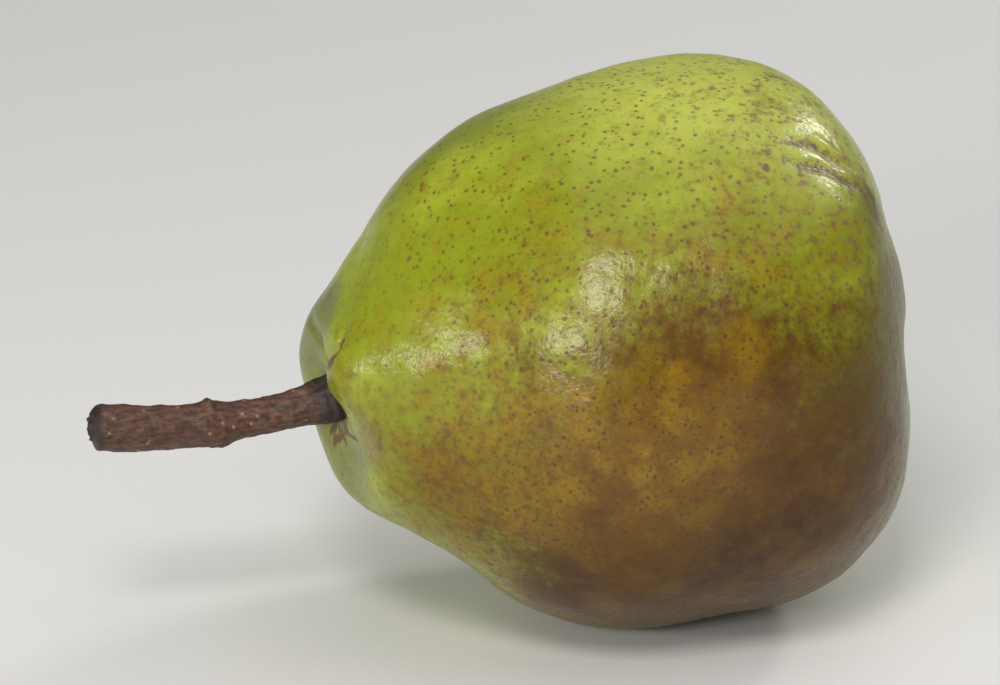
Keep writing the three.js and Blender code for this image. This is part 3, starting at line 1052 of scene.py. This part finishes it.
# Softboxes: azimuth and elevation about the heart, roll about the line to it, distance, width and height
# in metres, power in watts.
SOFTBOXES = {
    "upper key": (-25, 45, 10, 0.9, 0.23, 0.24, 3.3),
    "lower key": (-39, 21, -8, 0.9, 0.32, 0.18, 3.0),
    "side": (-81, 12, 6, 0.9, 0.2, 0.085, 1.35),
    "top": (80, 70, 0, 1.1, 1.4, 1.4, 5.0),
    "rim": (118, 30, 0, 1.0, 0.14, 0.14, 1.9),
}


def sphere_spot(centre, azimuth, elevation, distance):
    """A point at an azimuth and elevation, in radians, seen from a centre."""
    flat = math.cos(elevation)
    way = Vector((math.sin(azimuth) * flat, -math.cos(azimuth) * flat, math.sin(elevation)))
    return centre + distance * way


def make_lights(heart, look):
    """Three small softboxes that give the skin its glints, a large one above, a weak rim light, and an even
    light from all round."""
    for name, (azimuth, elevation, roll, distance, width, height, power) in SOFTBOXES.items():
        lamp = bpy.data.lights.new(name + " softbox", "AREA")
        lamp.shape = "RECTANGLE"
        lamp.size = width
        lamp.size_y = height
        lamp.energy = power
        lamp.color = WARM_WHITE
        box = bpy.data.objects.new(name.replace(" ", "_") + "_softbox", lamp)
        box.location = sphere_spot(heart, math.radians(azimuth), math.radians(elevation), distance)
        aim(box, heart)
        box.rotation_euler.rotate_axis("Z", math.radians(roll))
        bpy.context.scene.collection.objects.link(box)
    world = bpy.data.worlds.new("Even studio light")
    world.use_nodes = True
    background = world.node_tree.nodes["Background"]
    background.inputs["Color"].default_value = look.sky
    background.inputs["Strength"].default_value = SKY_STRENGTH
    bpy.context.scene.world = world
    bpy.context.scene.view_settings.view_transform = "Standard"


def make_camera(heart, look):
    """A long lens aimed at the heart, then slid sideways so that the heart stands off the middle."""
    camera = bpy.data.cameras.new("camera")
    camera.lens = look.lens / MM
    camera.sensor_width = FILM_WIDTH
    eye = bpy.data.objects.new("camera", camera)
    eye.location = sphere_spot(heart, look.azimuth, look.elevation, look.distance)
    aim(eye, heart)
    bpy.context.scene.collection.objects.link(eye)
    bpy.context.view_layer.update()
    turn = eye.matrix_world.to_3x3()
    eye.location += turn @ Vector((-look.heart_right, look.heart_down, 0))
    bpy.context.scene.camera = eye


# ------------------------------------------------------------------------------------------- operators


class PEAR_OT_stage(bpy.types.Operator):
    """Adds the pale floor, the soft lights and the camera"""

    bl_idname = "pear.stage"
    bl_label = "Add Stage"

    def execute(self, context):
        look = context.scene.pear_stage
        heart = Vector(HEART * MM)
        make_camera(heart, look)
        make_lights(heart, look)
        make_floor(look)
        return {"FINISHED"}


class PEAR_OT_skin(bpy.types.Operator):
    """Adds the pear's body with its skin"""

    bl_idname = "pear.skin"
    bl_label = "Add Body"

    def execute(self, context):
        make_skin(context.scene.pear_skin)
        return {"FINISHED"}


class PEAR_OT_stem(bpy.types.Operator):
    """Adds the woody stem"""

    bl_idname = "pear.stem"
    bl_label = "Add Stem"

    def execute(self, context):
        make_stem(context.scene.pear_stem)
        return {"FINISHED"}


class PEAR_OT_sepals(bpy.types.Operator):
    """Adds the five dried sepals"""

    bl_idname = "pear.sepals"
    bl_label = "Add Sepals"

    def execute(self, context):
        make_sepals(context.scene.pear_calyx)
        return {"FINISHED"}


class PEAR_OT_stamens(bpy.types.Operator):
    """Adds the tuft of dried stamens"""

    bl_idname = "pear.stamens"
    bl_label = "Add Stamens"

    def execute(self, context):
        make_stamens(context.scene.pear_calyx)
        return {"FINISHED"}


OPERATORS = (PEAR_OT_stage, PEAR_OT_skin, PEAR_OT_stem, PEAR_OT_sepals, PEAR_OT_stamens)


class PEAR_PT_panel(bpy.types.Panel):
    """Lists the pear's operators and settings"""

    bl_idname = "PEAR_PT_panel"
    bl_label = "Resting Pear"
    bl_space_type = "VIEW_3D"
    bl_region_type = "UI"
    bl_category = "Pear"

    def draw(self, context):
        for operator in OPERATORS:
            self.layout.operator(operator.bl_idname)
        for key in SETTINGS:
            group = getattr(context.scene, key)
            box = self.layout.box()
            box.label(text=type(group).__name__)
            for field in group.__annotations__:
                box.prop(group, field)


SETTINGS = {
    "pear_skin": PearSkinSettings,
    "pear_stem": PearStemSettings,
    "pear_calyx": PearCalyxSettings,
    "pear_stage": PearStageSettings,
}


def register():
    """Adds the settings, the operators and the panel."""
    for key, group in SETTINGS.items():
        bpy.utils.register_class(group)
        setattr(bpy.types.Scene, key, PointerProperty(type=group))
    for cls in (*OPERATORS, PEAR_PT_panel):
        bpy.utils.register_class(cls)


def unregister():
    """Takes them away again."""
    for cls in reversed((*OPERATORS, PEAR_PT_panel)):
        bpy.utils.unregister_class(cls)
    for key, group in reversed(SETTINGS.items()):
        delattr(bpy.types.Scene, key)
        bpy.utils.unregister_class(group)


def main():
    """Builds everything through the operators."""
    register()
    bpy.ops.pear.stage()
    bpy.ops.pear.skin()
    bpy.ops.pear.stem()
    bpy.ops.pear.sepals()
    bpy.ops.pear.stamens()


if __name__ == "__main__":
    main()
